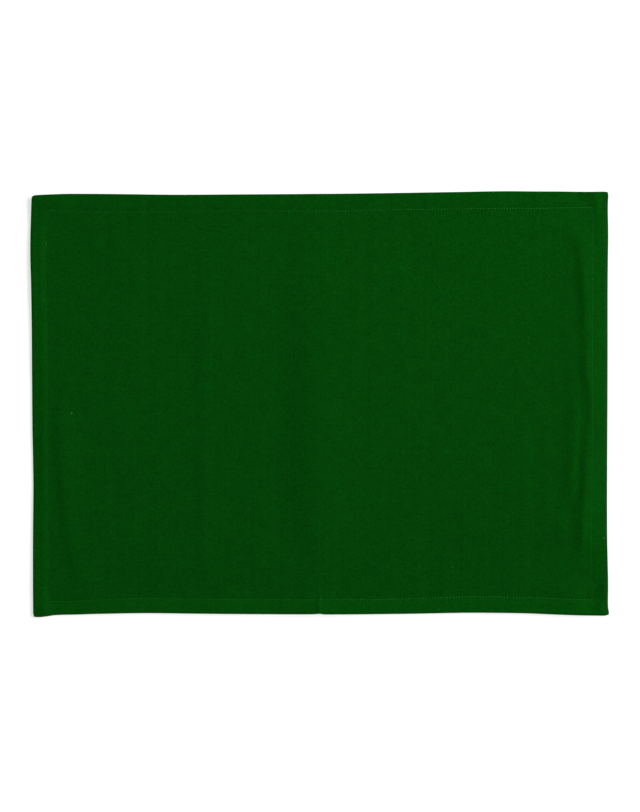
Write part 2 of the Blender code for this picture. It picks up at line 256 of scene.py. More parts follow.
FOLDS = (
    Fold("right_buckle", "y", falls_at_once=True, crests=(
        Crest(-146, 217, 0.0, 9, 20),
        Crest(-132, 217.5, 0.3, 9, 20),
        Crest(-120, 219.2, 0.8, 11, 21),
        Crest(-108, 219.9, 1.0, 10, 21),
        Crest(-97, 220.3, 1.15, 11, 21),
        Crest(-85, 220.6, 1.15, 12, 20),
        Crest(-74, 222.2, 1.1, 8, 19),
        Crest(-50, 223, 0.75, 7, 18),
        Crest(-38, 223.2, 0.3, 6, 17),
        Crest(-16, 224.6, 0.35, 5, 16),
        Crest(4, 225.6, 1.0, 8, 15),
        Crest(19, 224.2, 1.55, 9, 17),
        Crest(31, 222.0, 1.3, 8, 19),
        Crest(55, 223, 0.95, 11, 19),
        Crest(78, 222.0, 1.25, 9, 20),
        Crest(101, 219.7, 1.35, 9, 21),
        Crest(113, 218.0, 1.1, 7, 21),
        Crest(124, 217.4, 0.8, 6, 21),
        Crest(136, 216.2, 0.7, 13, 20),
        Crest(150, 213.4, 0.0, 12, 20),
    )),
    Fold("right_swell", "y", falls_at_once=True, crests=(
        Crest(-178, 218, 0.7, 120, 11),
        Crest(-168, 216, 0.8, 125, 13),
        Crest(-155, 213, 1.2, 140, 18),
        Crest(-143, 214, 0.6, 150, 19),
        Crest(-132, 214, 0.55, 160, 20),
        Crest(-120, 219.2, 1.3, 190, 20),
        Crest(-108, 220.1, 2.8, 190, 21),
        Crest(-90, 220.9, 3.1, 190, 21),
        Crest(-50, 223, 2.7, 190, 19),
        Crest(-30, 224, 2.2, 190, 18),
        Crest(4, 225.4, 1.7, 190, 16),
        Crest(30, 222.2, 2.35, 190, 19),
        Crest(60, 222.7, 2.0, 190, 19),
        Crest(90, 220.8, 1.4, 190, 20),
        Crest(124, 217.4, 1.5, 190, 20),
        Crest(136, 216.2, 1.2, 180, 19),
        Crest(148, 209, 1.2, 150, 17),
        Crest(160, 206, 0.9, 130, 16),
        Crest(170, 203, 0.7, 120, 14),
        Crest(178, 201, 0.6, 120, 13),
    )),
    Fold("right_wrinkle", "y", (
        Crest(-84, 209.5, 0.0, 9, 5),
        Crest(-74, 210, 0.35, 9, 5),
        Crest(-50, 210.2, 0.75, 10, 6.5),
        Crest(-30, 211.3, 0.85, 12, 7),
        Crest(-14, 213.2, 0.85, 13, 6.5),
        Crest(0, 213, 0.6, 13, 8),
        Crest(31, 210.5, 0.5, 12, 16),
        Crest(60, 209, 0.0, 12, 16),
    )),
    Fold("right_wrinkle_end", "y", (
        Crest(-122, 203, 0.0, 12, 6),
        Crest(-110, 203, 0.4, 12, 6),
        Crest(-96, 203, 0.4, 12, 6),
        Crest(-82, 204, 0.0, 12, 6),
    )),
    Fold("far_right_corner", "y", (
        Crest(148, 229, 0.0, 6, 5),
        Crest(158, 230, 0.3, 6, 5),
        Crest(165, 231, 0.7, 6, 5),
        Crest(169, 231, 1.3, 13, 5),
        Crest(178, 231.3, 1.9, 17, 5),
    )),
    Fold("near_right_corner", "y", (
        Crest(-178, 238, 0.1, 9, 6),
        Crest(-165, 238, 0.5, 9, 6),
        Crest(-156, 237.5, 1.6, 8, 6),
        Crest(-147, 237.5, 0.9, 8, 6),
        Crest(-136, 237.5, 0.2, 8, 6),
    )),
    Fold("right_curl", "y", (
        Crest(-136, 237, 0.15, 7, 5),
        Crest(-118, 236.5, 0.35, 6.5, 5),
        Crest(60, 236.5, 0.4, 6.5, 5),
        Crest(82, 237, 0.6, 7, 5),
        Crest(106, 237, 0.65, 7, 5),
        Crest(128, 236.5, 0.5, 7, 5),
        Crest(150, 236.5, 0.4, 7, 5),
        Crest(166, 236.5, 0.0, 7, 5),
    )),
    Fold("near_left_crease", "y", (
        Crest(-160, -202, 0.0, 9, 17),
        Crest(-142, -203, 0.6, 9, 17),
        Crest(-118, -208, 0.8, 9, 17),
        Crest(-97, -211, 0.7, 8, 17),
        Crest(-72, -213, 0.9, 8, 18),
        Crest(-40, -215, 0.8, 10, 20),
        Crest(-12, -216, 0.5, 9, 14),
        Crest(12, -212, 0.4, 9, 10),
        Crest(30, -210, 0.0, 8, 10),
    )),
    Fold("left_hem_rise", "y", (
        Crest(-160, -227, 0.0, 9, 24),
        Crest(-130, -227, 0.25, 9, 24),
        Crest(-20, -227, 0.25, 9, 24),
        Crest(20, -227, 0.15, 9, 24),
        Crest(45, -227, 0.0, 9, 24),
    )),
    Fold("middle_crease", "y", (
        Crest(-178, 1, 0.5, 24, 16),
        Crest(-150, 1, 0.5, 26, 22),
        Crest(-120, 0, 0.5, 30, 26),
        Crest(-95, 0, 0.8, 34, 28),
        Crest(0, -2, 0.7, 34, 28),
        Crest(90, -3, 0.7, 34, 28),
        Crest(130, -3, 0.6, 30, 24),
        Crest(178, -4, 0.3, 20, 20),
    )),
    Fold("middle_swell", "y", (
        Crest(-135, -2, 0.0, 34, 150),
        Crest(-95, -2, 1.2, 34, 150),
        Crest(0, -3, 1.4, 34, 150),
        Crest(90, -3, 1.4, 34, 150),
        Crest(145, -3, 0.0, 34, 150),
    )),
    Fold("quarter_crease", "y", (
        Crest(-150, -98, 0.0, 8, 20),
        Crest(-110, -98, 0.3, 8, 20),
        Crest(110, -98, 0.4, 8, 20),
        Crest(150, -98, 0.0, 8, 20),
    )),
    Fold("outer_quarter_crease", "y", (
        Crest(50, -163, 0.0, 10, 10),
        Crest(75, -163, -0.2, 10, 10),
        Crest(120, -163, -0.2, 10, 10),
        Crest(150, -163, 0.0, 10, 10),
    )),
    Fold("cross_crease", "x", (
        Crest(-236, 1, 0.0, 12, 14),
        Crest(-210, 1, -0.4, 12, 14),
        Crest(-100, 1, -0.3, 12, 14),
        Crest(-40, 1, 0.0, 12, 14),
    )),
    Fold("near_swell", "x", (
        Crest(-225, -130, 0.0, 26, 60),
        Crest(-170, -130, 0.9, 26, 60),
        Crest(-30, -130, 1.0, 26, 60),
        Crest(80, -132, 0.6, 24, 60),
        Crest(160, -130, 0.9, 26, 60),
        Crest(215, -130, 0.0, 26, 60),
    )),
    Fold("near_curl", "x", (
        Crest(-236, -177, 0.2, 3, 12),
        Crest(-180, -177, 0.8, 3, 14),
        Crest(-20, -177, 1.0, 3, 15),
        Crest(60, -177, 0.6, 3, 14),
        Crest(180, -177, 0.7, 3, 14),
        Crest(236, -177, 1.0, 3, 20),
    )),
    Fold("left_curl", "y", (
        Crest(-176, -241, 0.7, 3, 14),
        Crest(-140, -241, 0.5, 3, 14),
        Crest(-100, -240, 0.2, 3, 12),
        Crest(-20, -240, 0.1, 3, 12),
        Crest(30, -240, 0.3, 3, 14),
        Crest(70, -241, 0.6, 3, 15),
        Crest(90, -241, 1.1, 3, 15),
        Crest(118, -241, 1.1, 3, 15),
        Crest(150, -241, 0.7, 3, 20),
        Crest(164, -241, 1.4, 3, 40),
        Crest(178, -241, 1.8, 3, 42),
    )),
    Fold("far_left_corner", "y", (
        Crest(148, -214, 0.0, 20, 12),
        Crest(158, -214, 0.65, 30, 12),
        Crest(168, -214, 0.75, 30, 12),
        Crest(178, -214, 0.2, 30, 12),
    )),
    Fold("near_left_hem_crease", "y", (
        Crest(-163, -233, 0.0, 9, 4.5),
        Crest(-156, -233, 0.4, 9, 4.5),
        Crest(-148, -233, 0.5, 9, 4.5),
        Crest(-141, -233, 0.0, 9, 4.5),
    )),
    Fold("near_roll", "x", (
        Crest(-236, -176.4, 0.0, 2, 2.2),
        Crest(-228, -176.4, -0.4, 2, 2.4),
        Crest(180, -176.4, -0.5, 2, 2.4),
        Crest(200, -176.4, -1.1, 2, 2.6),
        Crest(236, -176.4, -1.3, 2, 2.8),
    )),
    Fold("near_pucker", "y", (
        Crest(-177, -0.6, 0.35, 2.2, 2.2),
        Crest(-163, -0.4, 0.45, 2.4, 2.4),
        Crest(-154, -0.2, 0.2, 3, 3),
        Crest(-146, 0, 0.0, 4, 4),
    )),
)


class Lump(NamedTuple):
    """Bulk where the layers of a mitre pile up: its middle, height, half length, half width and turn."""

    x: float
    y: float
    height: float
    half_length: float
    half_width: float
    degrees: float


LUMPS = (
    Lump(-230.5, -169.0, 1.5, 8.5, 6.5, 20),
    Lump(234.5, -169.5, 0.6, 10.0, 4.5, 125),
)


class Nep(NamedTuple):
    """A knot of pale fibre spun into the yarn: its place and length."""

    x: float
    y: float
    length: float


NEPS = (
    Nep(-206.8, -7.5, 1.5),
    Nep(-79.2, 2.1, 0.9),
    Nep(-43.4, -46.3, 0.7),
    Nep(110.9, -135.9, 0.8),
    Nep(99.2, -171.0, 1.0),
    Nep(236.8, -111.8, 1.3),
    Nep(91.7, 124.2, 0.5),
    Nep(200.9, 149.2, 0.5),
    Nep(125.0, 77.5, 0.5),
    Nep(-20.9, 93.4, 0.5),
    Nep(62.5, 65.0, 0.5),
    Nep(-166.0, 96.7, 0.5),
)


# --- shapes -----------------------------------------------------------------------------------------------

FALL_POWER = 1.5  # of a fold that falls at once: 1 would be an even slope
UNDULATION_SEED = 11
UNDULATION_WAVES = 40
UNDULATION_LENGTHS = (14.0, 60.0)
UNDULATION_HEIGHT = 0.20


def through(places, values, at):
    """The values at these places on a smooth curve through rows in rising order."""
    places, values, at = (np.asarray(x, float) for x in (places, values, at))
    slopes = np.empty_like(values)
    slopes[1:-1] = (values[2:] - values[:-2]) / (places[2:] - places[:-2])
    slopes[0] = (values[1] - values[0]) / (places[1] - places[0])
    slopes[-1] = (values[-1] - values[-2]) / (places[-1] - places[-2])
    k = np.clip(np.searchsorted(places, at, side="right") - 1, 0, len(places) - 2)
    span = places[k + 1] - places[k]
    t = np.clip((at - places[k]) / span, 0.0, 1.0)
    start = values[k] * (1 + 2 * t) * (1 - t) ** 2 + slopes[k] * span * t * (1 - t) ** 2
    end = values[k + 1] * t * t * (3 - 2 * t) + slopes[k + 1] * span * t * t * (t - 1)
    return start + end


def eased(t):
    """0 up to t = 0, 1 from t = 1 on, and a smooth step between."""
    t = np.clip(t, 0.0, 1.0)
    return t * t * (3 - 2 * t)


def stray(side, along, inset):
    """How far outwards a point strays that lies this far along a side and this far in from its edge."""
    places = [row.along for row in side]
    edge = through(places, [row.edge for row in side], along)
    seam = through(places, [row.seam for row in side], along)
    in_hem = edge + (seam - edge) * np.clip(inset / HEM_WIDTH, 0.0, 1.0)
    return in_hem * (1 - eased((inset - HEM_WIDTH) / SEAM_REACH))


def rounded_corner(x, y):
    """The points moved so that the square corners of the plain rectangle become arcs."""
    past_x = np.clip((np.abs(x) - (HALF_LENGTH - CORNER_RADIUS)) / CORNER_RADIUS, 0.0, 1.0)
    past_y = np.clip((np.abs(y) - (HALF_DEPTH - CORNER_RADIUS)) / CORNER_RADIUS, 0.0, 1.0)
    pull_x = past_x * (1 - np.sqrt(1 - past_y**2 / 2)) * CORNER_RADIUS
    pull_y = past_y * (1 - np.sqrt(1 - past_x**2 / 2)) * CORNER_RADIUS
    return x - np.sign(x) * pull_x, y - np.sign(y) * pull_y


def sewn_place(x, y):
    """Where points of the plain rectangle lie on the sewn mat, whose sides wander."""
    right = stray(RIGHT_SIDE, y, HALF_LENGTH - x)
    left = stray(LEFT_SIDE, y, HALF_LENGTH + x)
    far = stray(FAR_SIDE, x, HALF_DEPTH - y)
    near = stray(NEAR_SIDE, x, HALF_DEPTH + y)
    x, y = rounded_corner(x, y)
    return x + right - left, y + far - near


def fold_height(fold, x, y):
    """How high one fold holds the cloth at points of the plain rectangle."""
    along, across = (y, x) if fold.runs_along == "y" else (x, y)
    places = [crest.along for crest in fold.crests]
    middle, height, low_width, high_width = (
        through(places, [crest[column] for crest in fold.crests], along) for column in range(1, 5)
    )
    away = across - middle
    share = np.abs(away) / np.where(away > 0, high_width, low_width)
    profile = 1 - eased(share)
    if fold.falls_at_once:
        profile = np.where(away > 0, np.clip(1 - share, 0.0, 1.0) ** FALL_POWER, profile)
    within = (along >= places[0]) & (along <= places[-1])
    return np.where(within, height * profile, 0.0)


def lump_height(lump, x, y):
    """How high one lump holds the cloth at points of the plain rectangle."""
    turn = math.radians(lump.degrees)
    along = (x - lump.x) * math.cos(turn) + (y - lump.y) * math.sin(turn)
    across = (y - lump.y) * math.cos(turn) - (x - lump.x) * math.sin(turn)
    return lump.height * (1 - eased(np.hypot(along / lump.half_length, across / lump.half_width)))


def undulation(x, y):
    """The small unevenness of washed cloth that lies loose: a sum of gentle waves, never below the table."""
    draws = np.random.default_rng(UNDULATION_SEED)
    total = np.zeros(np.broadcast(x, y).shape)
    for _ in range(UNDULATION_WAVES):
        length = draws.uniform(*UNDULATION_LENGTHS)
        turn, start = draws.uniform(0, 2 * math.pi, 2)
        phase = 2 * math.pi * (x * math.cos(turn) + y * math.sin(turn)) / length + start
        total += np.sin(phase) * length
    total /= UNDULATION_WAVES**0.5 * UNDULATION_LENGTHS[1]
    return UNDULATION_HEIGHT * (1 + np.tanh(total))


def lift(x, y):
    """How high the cloth is held above the table at points of the plain rectangle."""
    folds = sum(fold_height(fold, x, y) for fold in FOLDS)
    lumps = sum(lump_height(lump, x, y) for lump in LUMPS)
    return np.maximum(folds, 0.0) + lumps + undulation(x, y)


# --- the cloth --------------------------------------------------------------------------------------------

CLOTH_NODE = "placemat_cloth"
RIM_ROWS = HEM_TOP + OUTER_FOLD + HEM_UNDERSIDE + INNER_FOLD + TURNED_IN
FINE_STEP = 0.8
COARSE_STEP = 1.7
COARSE_FROM = 18.0
HIDDEN_STEP = 2.6  # the layers' inner faces, which never show, are meshed more loosely
COLUMN_STEP = 3.3
ROW_STEP = 3.3
PUCKER_HALF_WIDTH = 6.0
PUCKER_STEP = 1.0


class Chain(NamedTuple):
    """The cloth's section across the rim, as one line round both of its faces.

    unfolded is each point's inset once the hem is unpicked and laid flat, below zero past the edge.
    """

    inset: np.ndarray
    height: np.ndarray
    unfolded: np.ndarray


def runs(rows):
    """How far along the cloth's middle line each row of a section lies from its first."""
    table = np.array(rows)
    return np.concatenate([[0.0], np.cumsum(np.hypot(*np.diff(table[:, :2], axis=0).T))])


def unfolded_inset(place):
    """How far in from the edge a row of the hem lies once the hem is unpicked, below zero past the edge."""
    return RIM_WIDTH - runs(RIM_ROWS)[RIM_ROWS.index(place)]


def face_line(side):
    """One face of the rim's cloth, the upper (1) or the lower (-1), from the field to the turn-in's end."""
    run = runs(RIM_ROWS)
    stops = [0.0]
    for row, start, end in zip(RIM_ROWS, run[:-1], run[1:]):
        pieces = max(1, round((end - start) / step_at(row, side)))
        stops += [start + (end - start) * (i + 1) / pieces for i in range(pieces)]
    stops = np.array(stops)
    table = np.array(RIM_ROWS)
    inset, height, thickness = (through(run, table[:, column], stops) for column in range(3))
    along_inset, along_height = np.gradient(inset, stops), np.gradient(height, stops)
    half = side * thickness / 2 / np.hypot(along_inset, along_height)
    # The line runs towards the edge, so its right-hand normal points up on the top layer.
    return Chain(inset + along_height * half, height - along_inset * half, RIM_WIDTH - stops)


def step_at(row, side):
    """How closely a face is meshed from this row on. Faces that never show are meshed more loosely."""
    if row.inset >= COARSE_FROM:
        return COARSE_STEP
    hidden = row in TURNED_IN or (side < 0 and row in HEM_TOP + HEM_UNDERSIDE)
    return HIDDEN_STEP if hidden else FINE_STEP


def rim_chain():
    """The whole rim's section: the upper face from the field out, round and in, then the lower face back."""
    upper, lower = face_line(1), face_line(-1)
    return Chain(*(np.concatenate([a, b[::-1]]) for a, b in zip(upper, lower)))


def spaced(half, step, fine_half=0.0, fine_step=1.0):
    """Shares from 0 to 1 along a side, closer together round its middle where a fine step is asked for."""
    if fine_half:
        fine = np.linspace(-fine_half, fine_half, 2 * round(fine_half / fine_step) + 1)
        side = np.linspace(fine_half, half, round((half - fine_half) / step) + 1)[1:]
        places = np.concatenate([-side[::-1], fine, side])
    else:
        places = np.linspace(-half, half, round(2 * half / step) + 1)
    return (places / half + 1) / 2


def ring(columns, rows, inset):
    """The plain points of one ring round the mat, from its near left corner and anticlockwise from above."""
    half_x, half_y = HALF_LENGTH - inset, HALF_DEPTH - inset
    x, y = half_x * (2 * columns - 1), half_y * (2 * rows - 1)
    across, up = np.full(len(x) - 1, 1.0), np.full(len(y) - 1, 1.0)
    ring_x = np.concatenate([x[:-1], half_x * up, x[::-1][:-1], -half_x * up])
    ring_y = np.concatenate([-half_y * across, y[:-1], half_y * across, y[::-1][:-1]])
    return ring_x, ring_y


def grid_index(columns, rows, first_of_ring, first_inside):
    """The vertex numbers of a field's grid, whose border is a ring that is already there."""
    wide, deep = len(columns) - 1, len(rows) - 1
    index = np.empty((wide + 1, deep + 1), int)
    inside = first_inside + np.arange((wide - 1) * (deep - 1))
    index[1:-1, 1:-1] = inside.reshape(wide - 1, deep - 1)
    index[:, 0] = np.arange(wide + 1)
    index[-1, :] = wide + np.arange(deep + 1)
    index[::-1, -1] = wide + deep + np.arange(wide + 1)
    index[0, ::-1] = (2 * wide + deep + np.arange(deep + 1)) % (2 * (wide + deep))
    border = np.ones(index.shape, bool)
    border[1:-1, 1:-1] = False
    index[border] += first_of_ring
    return index


def quads_of_grid(index, facing_up):
    corners = [index[:-1, :-1], index[1:, :-1], index[1:, 1:], index[:-1, 1:]]
    if not facing_up:
        corners = corners[::-1]
    return np.stack([corner.ravel() for corner in corners], axis=1)


def unfolded_place(x, y, unfolded, side):
    """Where points of a ring lie on the flat cloth. side counts from the near one, anticlockwise."""
    flat_x = np.select([side == 1, side == 3], [HALF_LENGTH - unfolded, unfolded - HALF_LENGTH], x)
    flat_y = np.select([side == 0, side == 2], [unfolded - HALF_DEPTH, HALF_DEPTH - unfolded], y)
    return np.stack([flat_x, flat_y], axis=-1)


def mesh_object(name, points, faces, material):
    mesh = bpy.data.meshes.new(name)
    mesh.from_pydata(np.asarray(points).tolist(), [], np.asarray(faces).tolist())
    mesh.materials.append(material)
    mesh.shade_smooth()
    made = bpy.data.objects.new(name, mesh)
    bpy.context.scene.collection.objects.link(made)
    return made


def cloth(material):
    """The whole mat as one closed sheet: its field, and a rim that folds under itself."""
    chain = rim_chain()
    columns = spaced(HALF_LENGTH, COLUMN_STEP, PUCKER_HALF_WIDTH, PUCKER_STEP)
    rows = spaced(HALF_DEPTH, ROW_STEP)
    around = 2 * (len(columns) + len(rows) - 2)
    wide, deep = len(columns) - 1, len(rows) - 1

    plain = [ring(columns, rows, inset) for inset in chain.inset]
    x = np.concatenate([ring_x for ring_x, _ in plain])
    y = np.concatenate([ring_y for _, ring_y in plain])
    height = np.repeat(chain.height, around)
    half_x, half_y = HALF_LENGTH - RIM_WIDTH, HALF_DEPTH - RIM_WIDTH
    field_x, field_y = np.meshgrid(
        half_x * (2 * columns[1:-1] - 1), half_y * (2 * rows[1:-1] - 1), indexing="ij"
    )
    x = np.concatenate([x, field_x.ravel(), field_x.ravel()])
    y = np.concatenate([y, field_y.ravel(), field_y.ravel()])
    height = np.concatenate(
        [height, np.full(field_x.size, chain.height[0]), np.full(field_x.size, chain.height[-1])]
    )

    last_ring = len(chain.inset) - 1
    k = np.arange(around)
    after = (k + 1) % around
    starts = np.arange(last_ring)[:, None] * around
    rim = np.stack([starts + k, starts + around + k, starts + around + after, starts + after], axis=-1)
    rim = rim.reshape(-1, 4)
    top = grid_index(columns, rows, 0, len(chain.inset) * around)
    under = grid_index(columns, rows, last_ring * around, len(chain.inset) * around + field_x.size)
    faces = np.concatenate([rim, quads_of_grid(top, True), quads_of_grid(under, False)])

    sewn_x, sewn_y = sewn_place(x, y)
    points = np.stack([sewn_x, sewn_y, height + lift(x, y)], axis=1)
    middle = middle_of(points)
    made = mesh_object("green_cloth", (points - middle) * MM, faces, material)

    side_of_face = np.repeat(np.arange(4), [wide, deep, wide, deep])
    side_of_face = np.tile(side_of_face, last_ring)
    ring_of = rim // around
    flat_rim = unfolded_place(x[rim], y[rim], chain.unfolded[ring_of], side_of_face[:, None])
    field = faces[len(rim) :]
    flat_field = np.stack([x[field], y[field]], axis=-1)
    flat = np.concatenate([flat_rim, flat_field]) * MM
    weave = made.data.uv_layers.new(name="weave")
    weave.uv.foreach_set("vector", flat.astype(np.float32).ravel())
    return made, middle


def middle_of(points):
    """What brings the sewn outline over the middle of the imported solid's box, and leaves heights alone."""
    low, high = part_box(CLOTH_NODE)
    middle = (points.min(axis=0) + points.max(axis=0)) / 2
    middle[:2] -= np.array([(low.x + high.x) / 2, (low.y + high.y) / 2]) / MM
    middle[2] = 0.0
    return middle


# --- the sewing -------------------------------------------------------------------------------------------


def row_at(rows, inset):
    return next(row for row in rows if row.inset == inset)


SEAM_ROW = row_at(HEM_TOP, HEM_WIDTH)
UNDER_SEAM_ROW = row_at(HEM_UNDERSIDE, HEM_WIDTH)
SEAM_TOP = SEAM_ROW.height + SEAM_ROW.thickness / 2
SEAM_UNDERSIDE = UNDER_SEAM_ROW.height - UNDER_SEAM_ROW.thickness / 2
SEAM_HALF_LENGTH = HALF_LENGTH - HEM_WIDTH
SEAM_HALF_DEPTH = HALF_DEPTH - HEM_WIDTH
STITCH_STEPS = 6
THREAD_SIDES = 6
THREAD_UNEVENNESS = 0.15
NEP_SUBDIVISIONS = 3
NEP_LUMP = 0.35 * MM
NEP_SPREAD = (0.7 * MM, 0.7 * MM, 0.25 * MM)


class Stitches(NamedTuple):
    """Stitches: their middles on the plain rectangle, the way they run, their lengths and how deep they lie.

    showing is 1 for a clean thread and less for one that the cloth's nap half hides.
    """

    x: np.ndarray
    y: np.ndarray
    run_x: np.ndarray
    run_y: np.ndarray
    length: np.ndarray
    drop: np.ndarray
    showing: np.ndarray


def true_pitch(half):
    """The pitch that fits a whole number of stitches into a row."""
    return 2 * half / round(2 * half / STITCH_PITCH)


def stitch_middles(half):
    pitch = true_pitch(half)
    return -half + pitch * (np.arange(round(2 * half / pitch)) + 0.5)


def seam_stitches():
    """The four rows of the seam. Some of the left row's are missing, with one long stitch in their place."""
    across, up = stitch_middles(SEAM_HALF_LENGTH), stitch_middles(SEAM_HALF_DEPTH)
    first = int(np.argmin(np.abs(up - SKIP_MIDDLE))) - SKIPPED_STITCHES // 2
    skipped = np.arange(first, first + SKIPPED_STITCHES)
    left = np.delete(up, skipped)
    long_one = up[skipped].mean(keepdims=True)
    long_length = STITCH_LENGTH + (SKIPPED_STITCHES - 1) * true_pitch(SEAM_HALF_DEPTH)
    clear = eased((across - CLEAR_FROM) / (CLEAR_TO - CLEAR_FROM))
    flat = 1 - clear
    length, showing = STITCH_LENGTH * clear + FLAT_STITCH * flat, clear + LEFT_END_SHOWING * flat
    long_side = length, LEFT_END_DROP * flat, showing
    rows = (
        (across, -SEAM_HALF_DEPTH, 1.0, 0.0, *long_side),
        (across, SEAM_HALF_DEPTH, 1.0, 0.0, *long_side),
        (SEAM_HALF_LENGTH, up, 0.0, 1.0, FLAT_STITCH, RIGHT_ROW_DROP, RIGHT_ROW_SHOWING),
        (-SEAM_HALF_LENGTH, left, 0.0, 1.0, FLAT_STITCH, LEFT_ROW_DROP, LEFT_ROW_SHOWING),
        (-SEAM_HALF_LENGTH, long_one, 0.0, 1.0, long_length, LEFT_ROW_DROP, 1.0),
    )
    return Stitches(*np.concatenate([np.array(np.broadcast_arrays(*row)) for row in rows], axis=1))


class Tree:
    """A node tree written as Python: nodes come from one method, and sums on outputs add Math nodes."""

    def __init__(self, tree):
        self.tree = tree

    def node(self, kind, inputs=(), output=0, **settings):
        """Adds a node, sets its settings and then its inputs, and gives one of its outputs.

        Sockets go by name, or by number where several of a node's sockets share a name.
        """
        made = self.tree.nodes.new(kind)
        for name, value in settings.items():
            setattr(made, name, value)
        for name, value in dict(inputs).items():
            socket = made.inputs[name]
            if isinstance(value, Signal):
                self.tree.links.new(value.socket, socket)
            else:
                socket.default_value = value
        return Signal(self, made.outputs[output]) if made.outputs else made

    def link(self, signal, socket):
        self.tree.links.new(signal.socket, socket)

    def math(self, operation, *values):
        return self.node("ShaderNodeMath", dict(enumerate(values)), operation=operation)

    def vector_math(self, operation, *values):
        return self.node("ShaderNodeVectorMath", dict(enumerate(values)), operation=operation)

    def noise(self, place, feature, detail=2.0, roughness=0.5):
        """Noise between about 0.25 and 0.75 whose lumps are about as wide as feature, in metres."""
        inputs = {"Vector": place, "Scale": 1 / feature, "Detail": detail, "Roughness": roughness}
        return self.node("ShaderNodeTexNoise", inputs)

    def streaks(self, place, width, depth, detail=2.0, roughness=0.5):
        """Noise whose lumps are about this wide along X and this deep along Y, in metres."""
        measured = self.vector_math("MULTIPLY", place, (1 / width, 1 / depth, 0.0))
        return self.noise(measured, 1.0, detail, roughness)

    def shove(self, place, feature):
        """A vector of noise round zero, which pushes a place about."""
        noise = self.noise(place, feature, detail=1.0).output("Color")
        return self.vector_math("SUBTRACT", noise, (0.5, 0.5, 0.5))

    def scaled(self, vector, factor):
        return self.node("ShaderNodeVectorMath", {0: vector, "Scale": factor}, operation="SCALE")

    def bumped(self, height):
        """The normal of a surface with this relief, in metres."""
        return self.node("ShaderNodeBump", {"Strength": 1.0, "Distance": 1.0, "Height": height})

    def between(self, value, low, high, to_low=0.0, to_high=1.0):
        """A smooth step from to_low to to_high as the value goes from low to high."""
        inputs = {"Value": value, "From Min": low, "From Max": high, "To Min": to_low, "To Max": to_high}
        return self.node("ShaderNodeMapRange", inputs, interpolation_type="SMOOTHSTEP")


class Signal:
    """An output of a node. Arithmetic on it adds Math nodes."""

    def __init__(self, tree, socket):
        self.tree, self.socket = tree, socket

    def output(self, name):
        """Another output of the same node."""
        return Signal(self.tree, self.socket.node.outputs[name])

    def __add__(self, other):
        return self.tree.math("ADD", self, other)

    def __sub__(self, other):
        return self.tree.math("SUBTRACT", self, other)

    def __rsub__(self, other):
        return self.tree.math("SUBTRACT", other, self)

    def __mul__(self, other):
        return self.tree.math("MULTIPLY", self, other)

    def __truediv__(self, other):
        return self.tree.math("DIVIDE", self, other)

    def __pow__(self, other):
        return self.tree.math("POWER", self, other)

    def __mod__(self, other):
        return self.tree.math("FLOORED_MODULO", self, other)

    def __abs__(self):
        return self.tree.math("ABSOLUTE", self)

    __radd__ = __add__
    __rmul__ = __mul__


def new_group(name, inputs):
    """A Geometry Nodes tree with these named inputs, as (name, socket type, default) rows."""
    group = bpy.data.node_groups.new(name, "GeometryNodeTree")
    interface = group.interface
    interface.new_socket("Geometry", in_out="INPUT", socket_type="NodeSocketGeometry")
    for label, kind, default in inputs:
        socket = interface.new_socket(label, in_out="INPUT", socket_type=kind)
        if default is not None:
            socket.default_value = default
    interface.new_socket("Geometry", in_out="OUTPUT", socket_type="NodeSocketGeometry")
    return group, Tree(group)


